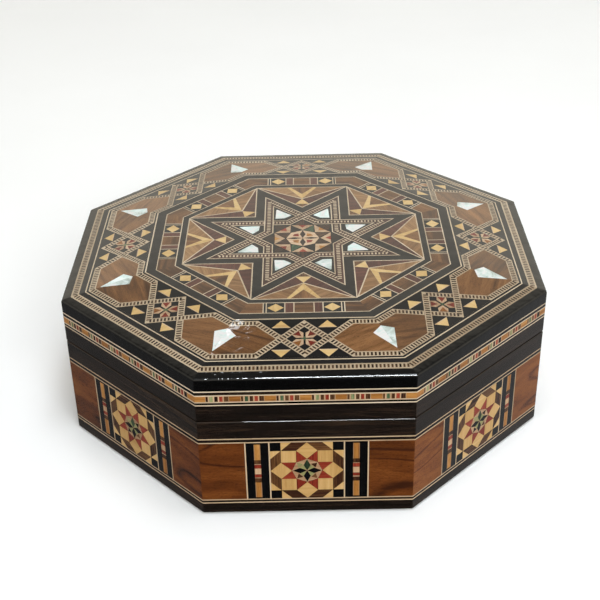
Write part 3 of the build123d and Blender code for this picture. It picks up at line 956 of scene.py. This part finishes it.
class Shader:
    """Node tree of a material or of the world, with short ways to add to it."""

    def __init__(self, owner):
        owner.use_nodes = True
        self.owner = owner
        self.tree = owner.node_tree
        self.surface = self.tree.nodes.get("Principled BSDF") or self.tree.nodes["Background"]

    def add(self, kind, inputs=None, **settings):
        node = self.tree.nodes.new(kind)
        for key, value in settings.items():
            setattr(node, key, value)
        self.feed(node, inputs or {})
        return node

    def feed(self, node, inputs):
        for key, value in inputs.items():
            if isinstance(value, bpy.types.NodeSocket):
                self.tree.links.new(value, node.inputs[key])
            else:
                node.inputs[key].default_value = value

    def maths(self, operation, first, second, third=None, clamp=False):
        inputs = {0: first, 1: second}
        if third is not None:
            inputs[2] = third
        return self.add("ShaderNodeMath", inputs, operation=operation, use_clamp=clamp).outputs[0]

    def swing(self, value, gain, base):
        """base plus gain times how far the value is from a half."""
        return self.maths("MULTIPLY_ADD", self.maths("SUBTRACT", value, 0.5), gain, base)

    def stretched(self, vector, scale):
        inputs = {0: vector, 1: scale}
        return self.add("ShaderNodeVectorMath", inputs, operation="MULTIPLY").outputs[0]

    def noise(self, vector, scale, detail=3.0, roughness=0.5, distortion=0.0):
        """Noise with cells of about 1 / scale, which is a number or one for each axis."""
        scale = scale if isinstance(scale, tuple) else (scale,) * 3
        inputs = {"Vector": self.stretched(vector, scale), "Scale": 1.0, "Detail": detail,
                  "Roughness": roughness, "Distortion": distortion}
        return self.add("ShaderNodeTexNoise", inputs).outputs[0]

    def ramp(self, factor, stops):
        node = self.add("ShaderNodeValToRGB", {0: factor})
        elements = node.color_ramp.elements
        while len(elements) < len(stops):
            elements.new(0.5)
        for element, (position, colour) in zip(elements, stops):
            element.position = position
            element.color = colour
        return node.outputs[0]

    def span(self, value, low, high):
        inputs = {"Value": value, "From Min": 0.3, "From Max": 0.7, "To Min": low, "To Max": high}
        return self.add("ShaderNodeMapRange", inputs).outputs[0]

    def bump(self, height, distance, strength=1.0, normal=None):
        inputs = {"Height": height, "Distance": distance, "Strength": strength}
        if normal is not None:
            inputs["Normal"] = normal
        return self.add("ShaderNodeBump", inputs).outputs[0]

    def veneer(self):
        """Place along and across the grain, and the tile's shade."""
        grain = self.add("ShaderNodeAttribute", attribute_name="wood").outputs["Vector"]
        return grain, self.add("ShaderNodeAttribute", attribute_name="tone").outputs["Fac"]

    def here(self):
        """Place in the frame, in millimetres, the same for every piece."""
        coordinates = self.add("ShaderNodeTexCoord").outputs["Object"]
        return self.stretched(coordinates, (1 / MM,) * 3)


COAT_IOR = 1.45
COAT_ROUGHNESS = 0.04
WAVES = 0.16               # height of the slow unevenness of the lacquer
RIPPLES = 0.12             # finer unevenness, as a part of it
PORE_LEVEL = 0.62          # noise above this is a pore


def lacquer(shader, bump_normal, waves, ripples):
    """Thick clear gloss over the wood, slightly uneven."""
    place = shader.here()
    swell = shader.noise(place, 0.09, detail=2.0)
    ripple = shader.noise(place, 0.45, detail=1.0)
    height = shader.maths("MULTIPLY_ADD", ripple, ripples, swell)
    shader.feed(shader.surface, {"Coat Weight": 1.0, "Coat Roughness": COAT_ROUGHNESS,
                                 "Coat IOR": COAT_IOR, "Specular IOR Level": 0.04,
                                 "Coat Normal": shader.bump(height, waves * MM),
                                 "Normal": shader.bump(height, waves * MM, normal=bump_normal)})


def wood(name, colours, shade, streak, fibre, pores, streak_size=0.45, veins=0.0, waves=WAVES,
         ripples=RIPPLES):
    """Lacquered veneer: slow streaks, fine fibres and short dark pores along the grain.

    veins is the strength of the dark growth lines that wander across it.
    """
    shader = Shader(bpy.data.materials.new(name))
    grain, tone = shader.veneer()
    streaks = shader.noise(grain, (0.035, streak_size, 7.0), 4.0, 0.55, 0.7)
    fibres = shader.noise(grain, (0.22, 5.0, 3.0), 3.0, 0.6)
    dashes = shader.noise(grain, (0.7, 9.0, 5.0), 1.0, 0.5)
    figure = shader.swing(streaks, streak, 0.5)
    figure = shader.swing(fibres, fibre, figure)
    dent = shader.maths("GREATER_THAN", dashes, PORE_LEVEL)
    figure = shader.maths("MULTIPLY_ADD", dent, -pores, figure)
    if veins:
        swirl = shader.noise(grain, (0.012, 0.06, 3.0), 1.0, 0.4, 0.3)
        contour = shader.maths("PINGPONG", shader.maths("MULTIPLY", swirl, 4.0), 0.5)
        line = shader.add("ShaderNodeMapRange", {"Value": contour, "From Max": 0.1, "To Min": -veins,
                                                 "To Max": 0.0})
        figure = shader.maths("ADD", figure, line.outputs[0])
    figure = shader.maths("ADD", figure, tone, clamp=True)
    # shade scales the colours: (1, 1, 1) on the lid's top, and a painted-shade factor on upright faces
    stops = [(position, linear(*(level * part for level, part in zip(shade, colour))))
             for position, colour in zip((0.15, 0.5, 0.85), colours)]
    colour = shader.ramp(figure, stops)
    shader.feed(shader.surface, {"Base Color": colour, "Roughness": shader.span(fibres, 0.38, 0.55)})
    lacquer(shader, shader.bump(fibres, 0.01 * MM), waves, ripples)
    return shader.owner


def shell():
    """Mother-of-pearl: pale, with soft green and pink clouds across fine layers."""
    shader = Shader(bpy.data.materials.new("mother_of_pearl"))
    grain, tone = shader.veneer()
    clouds = shader.noise(grain, (0.16, 0.16, 5.0), 2.0, 0.45, 0.8)
    layers = shader.noise(grain, (0.4, 1.6, 5.0), 2.0, 0.5, 1.0)
    mixed = shader.swing(layers, 0.3, clouds)
    mixed = shader.maths("ADD", mixed, tone, clamp=True)
    colour = shader.ramp(mixed, [(0.25, linear(165, 176, 170)), (0.42, linear(204, 216, 214)),
                                 (0.52, linear(224, 218, 218)), (0.63, linear(203, 224, 222)),
                                 (0.8, linear(234, 242, 242))])
    shader.feed(shader.surface, {"Base Color": colour, "Roughness": shader.span(layers, 0.2, 0.34)})
    lacquer(shader, shader.bump(layers, 0.02 * MM), WAVES, RIPPLES)
    return shader.owner


def cloth(name, dark, light, pile, sheen):
    """Short-piled fabric with brushed patches."""
    shader = Shader(bpy.data.materials.new(name))
    place = shader.here()
    brushed = shader.noise(place, 0.04, 2.0, 0.5, 0.3)
    fluff = shader.noise(place, pile, 4.0, 0.7)
    mixed = shader.swing(fluff, 0.7, brushed)
    colour = shader.ramp(mixed, [(0.3, linear(*dark)), (0.7, linear(*light))])
    shader.feed(shader.surface, {"Base Color": colour, "Roughness": shader.span(brushed, 0.8, 0.95),
                                 "Sheen Weight": sheen, "Sheen Roughness": 0.5,
                                 "Sheen Tint": linear(*light), "Specular IOR Level": 0.05,
                                 "Normal": shader.bump(fluff, 0.25 * MM, 0.7)})
    return shader.owner


def board_wood(name, heading):
    """Bare board, its grain along a level direction given as an angle."""
    shader = Shader(bpy.data.materials.new(name))
    place = shader.add("ShaderNodeVectorRotate", {"Vector": shader.here(), "Angle": -heading},
                       rotation_type="Z_AXIS").outputs[0]
    rings = shader.noise(place, (0.015, 0.35, 0.35), 3.0, 0.55, 0.6)
    fibres = shader.noise(place, (0.12, 3.0, 3.0), 3.0, 0.6)
    figure = shader.swing(fibres, 0.6, rings)
    colour = shader.ramp(figure, [(0.25, linear(112, 76, 46)), (0.55, linear(158, 116, 76)),
                                  (0.8, linear(186, 145, 100))])
    shader.feed(shader.surface, {"Base Color": colour, "Roughness": shader.span(fibres, 0.5, 0.7),
                                 "Normal": shader.bump(fibres, 0.06 * MM)})
    return shader.owner


def brass():
    shader = Shader(bpy.data.materials.new("hinge_brass"))
    place = shader.here()
    brushed = shader.noise(place, (0.6, 9.0, 9.0), 3.0, 0.6)
    tarnish = shader.noise(place, 0.5, 4.0, 0.6)
    colour = shader.ramp(tarnish, [(0.35, linear(150, 112, 58)), (0.6, linear(205, 168, 98))])
    shader.feed(shader.surface, {"Base Color": colour, "Metallic": 1.0,
                                 "Roughness": shader.span(brushed, 0.22, 0.42),
                                 "Normal": shader.bump(brushed, 0.01 * MM)})
    return shader.owner


# Dark, usual and light colour of each wood, then the looks that wood() takes: streaks, fibres, pores, size
# of streaks, veins, waves and ripples
WOODS = {
    "black_veneer": (((4, 4, 5), (10, 10, 12), (22, 21, 25)), (0.8, 0.4, 0.1)),
    "edge_veneer": (((2, 2, 2), (4, 4, 5), (9, 9, 11)), (0.8, 0.4, 0.1, 0.45, 0.0, 0.32, 0.35)),
    "dark_brown_veneer": (((12, 9, 7), (30, 22, 17), (54, 40, 29)), (1.3, 0.6, 0.2)),
    "side_walnut": (((54, 26, 8), (99, 52, 17), (138, 84, 35)), (1.0, 0.55, 0.35, 0.14, 0.35)),
    "top_walnut": (((66, 42, 24), (112, 75, 43), (143, 101, 63)), (1.2, 0.5, 0.3, 0.3, 0.2)),
    "pale_string": (((146, 126, 102), (194, 175, 150), (220, 204, 182)), (0.6, 0.4, 0.1, 1.2)),
    "lemonwood": (((170, 134, 79), (198, 165, 110), (215, 187, 139)), (0.8, 0.25, 0.1, 0.7)),
    "cream_wood": (((150, 120, 92), (191, 162, 133), (215, 190, 163)), (0.9, 0.5, 0.1, 1.2)),
    "red_dyed_wood": (((88, 24, 15), (132, 46, 32), (168, 76, 54)), (0.9, 0.6, 0.15, 1.2)),
    "green_dyed_wood": (((28, 44, 32), (56, 80, 56), (146, 150, 104)), (0.7, 0.6, 0.15, 1.2)),
    "orange_wood": (((118, 70, 28), (168, 117, 58), (204, 156, 92)), (1.0, 0.7, 0.15, 1.2)),
    "purple_wood": (((46, 24, 21), (78, 42, 33), (102, 60, 48)), (1.0, 0.6, 0.25, 0.8)),
    "tan_walnut": (((96, 66, 39), (134, 98, 63), (162, 127, 88)), (1.2, 0.6, 0.2, 0.7)),
    "dark_walnut": (((24, 14, 10), (60, 34, 20), (112, 78, 46)), (1.0, 0.6, 0.15, 0.9)),
    "rung_brown": (((26, 16, 9), (54, 36, 20), (84, 58, 36)), (1.0, 0.6, 0.1, 1.4)),
    "ladder_brown": (((28, 16, 12), (60, 34, 27), (92, 56, 44)), (1.0, 0.6, 0.1, 1.4)),
}
# Upright faces get copies of each wood darkened and warmed by this factor: painted shade, for how light
# falls on them
SIDE_PAINTED_SHADE = (0.94, 0.9, 0.85)

made = {}


def veneer_material(kind, on_top):
    """One material of each wood for the lid's top and one for the upright faces, its colours darkened and
    warmed as painted shade.
    """
    name = kind if on_top else "side_" + kind
    if name not in made:
        colours, looks = WOODS[kind]
        made[name] = wood(name, colours, (1, 1, 1) if on_top else SIDE_PAINTED_SHADE, *looks)
    return made[name]


SHELL = shell()
VELVET = cloth("red_velvet", (82, 8, 15), (110, 14, 23), 3.0, 0.5)
FELT = cloth("green_felt", (26, 42, 30), (52, 76, 55), 1.6, 0.3)
BRASS = brass()


# Build the veneer

base_bands()
lid_bands()
for step in range(SIDES):
    mosaic(step)
    side_strips(step)
    side_star(step)
    facet_borders(step)
    chain(step)
    chain_fields(step)
    ring(step)
    field_triangle(step)
    star_arm(step)
    dart(step)
    ground(step)
rosette()

# Collected veneer, piece name, wood, record slot, CAD nodes that it stands for
LID_PIECES = (
    ("black", "lid_black_veneer", "black_veneer", "black_veneer",
     ("facet_ground", "border_black_band", "ring_black_bands", "star_ground")),
    ("edge", "lid_edge_veneer", "edge_veneer", "black_veneer", ("lid_edge_band",)),
    ("brown", "lid_brown_bands", "dark_brown_veneer", "brown_veneer",
     ("lid_lower_band", "lid_dark_strings")),
    ("light", "lid_pale_strings", "pale_string", "boxwood", ("lid_light_strings", "top_light_strings")),
    ("rail", "lid_ladder_ground", "pale_string", "boxwood", ("border_ladder",)),
    ("rung", "lid_ladder_cells", "rung_brown", "marquetry", ("chain_ladder",)),
    ("star_ladder", "lid_star_strips", "ladder_brown", "marquetry", ("star_ladder",)),
    ("walnut", "lid_walnut_inlay", "top_walnut", "walnut_veneer",
     ("walnut_cartouches", "ring_walnut_tiles")),
    ("purple", "lid_purple_tiles", "purple_wood", "marquetry", ("ring_dark_tiles",)),
    ("lemon", "lid_lemonwood_tiles", "lemonwood", "lemonwood",
     ("lemonwood_triangles", "ring_diamond_tiles")),
    ("pearl", "lid_pearl_inlay", "shell", "pearl", ("pearl_kites", "pearl_darts")),
    ("cream", "lid_cream_tiles", "cream_wood", "boxwood", ("flower_petals",)),
    ("red", "lid_red_tiles", "red_dyed_wood", "marquetry", ()),
    ("green", "lid_green_tiles", "green_dyed_wood", "marquetry", ()),
    ("tan", "lid_tan_tiles", "tan_walnut", "marquetry", ("star_triangles",)),
    ("dark", "lid_dark_tiles", "dark_walnut", "marquetry", ("centre_rosette",)),
    ("orange", "lid_orange_tiles", "orange_wood", "marquetry", ("lid_mosaic_band",)),
)
BASE_PIECES = (
    ("black", "base_black_veneer", "black_veneer", "black_veneer", ("side_tile_strips",)),
    ("brown", "base_brown_bands", "dark_brown_veneer", "brown_veneer",
     ("base_foot_band", "base_top_band", "base_dark_strings")),
    ("light", "base_pale_strings", "pale_string", "boxwood", ("base_light_strings",)),
    ("walnut", "base_walnut_panels", "side_walnut", "walnut_veneer", ("side_walnut_panels",)),
    ("lemon", "base_lemonwood_tiles", "lemonwood", "lemonwood", ("side_star_panels",)),
    ("orange", "base_orange_tiles", "orange_wood", "marquetry", ()),
    ("red", "base_red_tiles", "red_dyed_wood", "marquetry", ()),
    ("cream", "base_cream_tiles", "cream_wood", "boxwood", ()),
    ("dark", "base_dark_tiles", "dark_walnut", "marquetry", ()),
    ("green", "base_green_tiles", "green_dyed_wood", "marquetry", ()),
)
SWEPT = {"lid_edge_veneer", "lid_brown_bands", "lid_pale_strings", "lid_orange_tiles",
         "base_brown_bands", "base_pale_strings", "base_walnut_panels"}
UPRIGHT_LID = {"lid_edge_veneer", "lid_brown_bands", "lid_orange_tiles"}
for body, woods, pieces in (("lid", lid, LID_PIECES), ("base", base, BASE_PIECES)):
    for key, name, kind, slot, nodes in pieces:
        # Upright pieces take the copies of their woods darkened as painted shade
        on_top = body == "lid" and name not in UPRIGHT_LID
        material = SHELL if kind == "shell" else veneer_material(kind, on_top)
        shown(name, woods[key].mesh(name), body, material, slot, nodes, smooth=35 if name in SWEPT else 0)

for mesh_name, way in (("lid_brown_bands", 1), ("base_brown_bands", -1)):
    bevelled(bpy.data.meshes[mesh_name], way)

velvet_pad("velvet_floor_pad", "floor_velvet", "base", 1)
velvet_pad("velvet_ceiling_pad", "lid_ceiling_velvet", "lid", -1)
velvet_wall("velvet_base_wall", "base_wall_velvet", "base", below=TUCK)
velvet_wall("velvet_lid_wall", "lid_wall_velvet", "lid", above=TUCK)


def board_material(name):
    """Material of a node that keeps its CAD shape, or None for a node that other pieces stand for."""
    wall = "_wall_" in name and "velvet" not in name
    if wall or name in ("base_floor", "lid_top_board"):
        outward = sum(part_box(name), Vector()) / 2
        return board_wood(name + "_wood", math.atan2(outward.x, -outward.y) if wall else 0)
    if name == "underside_felt":
        return FELT
    return BRASS if name.startswith("hinge") else None


for name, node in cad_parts.items():
    material = board_material(name)
    if material:
        node.data.materials.clear()
        node.data.materials.append(material)

# Floor, light and camera

floor_mesh = bpy.data.meshes.new("floor")
with edited(floor_mesh) as grid:
    bmesh.ops.create_grid(grid, x_segments=8, y_segments=8, size=12.0)
floor = added("floor", floor_mesh)
paper = Shader(bpy.data.materials.new("paper_floor"))
paper_noise = paper.noise(paper.here(), 0.01, 3.0)
paper_colour = paper.ramp(paper_noise, [(0.3, linear(250, 250, 252)), (0.7, linear(253, 253, 255))])
paper.feed(paper.surface, {"Base Color": paper_colour, "Roughness": 0.9, "Specular IOR Level": 0.1})
floor_mesh.materials.append(paper.owner)
floor.visible_glossy = False


def softbox(name, place, target, size, power):
    data = bpy.data.lights.new(name, "AREA")
    data.shape = "RECTANGLE"
    data.size, data.size_y = size
    data.energy = power
    data.color = (0.9, 0.96, 1.0)
    lamp = added(name, data)
    lamp.location = place
    lamp.rotation_euler = (Vector(target) - Vector(place)).to_track_quat("-Z", "Y").to_euler()
    return lamp


# Name, place, target, size, power, whether it lights surfaces, and whether glossy surfaces reflect it
for name, place, target, size, power, lights, reflects in (
        ("overhead", (0.25, -0.15, 1.5), (0, 0, 0), (0.35, 0.2), 3, True, True),
        ("ceiling_panel", (0.1, 0.0, 1.6), (0, 0, 0), (1.2, 1.0), 11.2, True, False),
        ("front_panel", (0.4, -1.15, 0.9), (0, 0, 0.03), (0.7, 0.5), 10, True, False),
        ("top_glint", (-0.137, 0.951, 1.167), (-0.032, -0.066, 0.069), (0.06, 0.04), 0.07, False, True),
        ("edge_glint", (0.25, -1.0, 1.3), (0, -0.1, 0.06), (0.7, 0.12), 55, False, True),
        ("seam_glint", (-0.1, -1.0, 1.3), (0, -0.1, 0.06), (0.14, 0.12), 12, False, True)):
    lamp = softbox(name, place, target, size, power)
    lamp.visible_diffuse = lights
    lamp.visible_glossy = reflects

# Pale walls round the studio that darken towards the ceiling. Below the horizon, a table that is dark in the
# middle and grey at the far left and right takes the floor's place in reflections. All of it gets brighter
# towards the right
studio = Shader(bpy.data.worlds.new("studio"))
bpy.context.scene.world = studio.owner
towards = studio.add("ShaderNodeSeparateXYZ", {0: studio.add("ShaderNodeTexCoord").outputs["Generated"]})


def grey(value):
    return (value, value, value, 1.0)


# Brightness by direction. For the walls straight down is 0, the horizon 0.5 and straight up 1
WALL_LEVELS = ((0.5, 0.7), (0.6, 0.74), (0.7, 1.0), (0.735, 0.86), (0.765, 0.62), (0.82, 0.5), (0.87, 0.28),
               (0.89, 0.14))
WALLS = [(position, (level, 0.94 * level, 0.8 * level, 1)) for position, level in WALL_LEVELS]
# For the table far left is 0 and far right 1
TABLE = ((0.06, grey(0.18)), (0.3, grey(0.02)), (0.7, grey(0.02)), (0.94, grey(0.33)))
upward = studio.maths("MULTIPLY_ADD", towards.outputs["Z"], 0.5, 0.5)
rightward = studio.maths("MULTIPLY_ADD", towards.outputs["X"], 0.5, 0.5)
above = studio.add("ShaderNodeMapRange", {"Value": upward, "From Min": 0.44, "From Max": 0.51}).outputs[0]
layers = {0: above, 6: studio.ramp(rightward, TABLE), 7: studio.ramp(upward, WALLS)}
seen = studio.add("ShaderNodeMix", layers, data_type="RGBA").outputs[2]
strength = studio.add("ShaderNodeMapRange", {"Value": rightward, "From Min": 0.0, "From Max": 0.6,
                                             "To Min": 0.86, "To Max": 1.18}).outputs[0]
studio.feed(studio.surface, {"Color": seen, "Strength": strength})
bpy.context.scene.view_settings.view_transform = "Standard"

camera_data = bpy.data.cameras.new("camera")
camera_data.lens = 70.06
camera_data.sensor_width = 36.0
camera = added("camera", camera_data)
AIM = Vector((-0.0019, 0.0167, 0.0278))
AZIMUTH, ELEVATION, ROLL = (math.radians(angle) for angle in (0.29, 31.18, 1.28))
DISTANCE = 0.549
back = Vector((math.sin(AZIMUTH) * math.cos(ELEVATION), -math.cos(AZIMUTH) * math.cos(ELEVATION),
               math.sin(ELEVATION)))
camera.location = AIM + back * DISTANCE
camera.rotation_euler = ((-back).to_track_quat("-Z", "Y").to_matrix()
                         @ Matrix.Rotation(-ROLL, 3, "Z")).to_euler()
bpy.context.scene.camera = camera
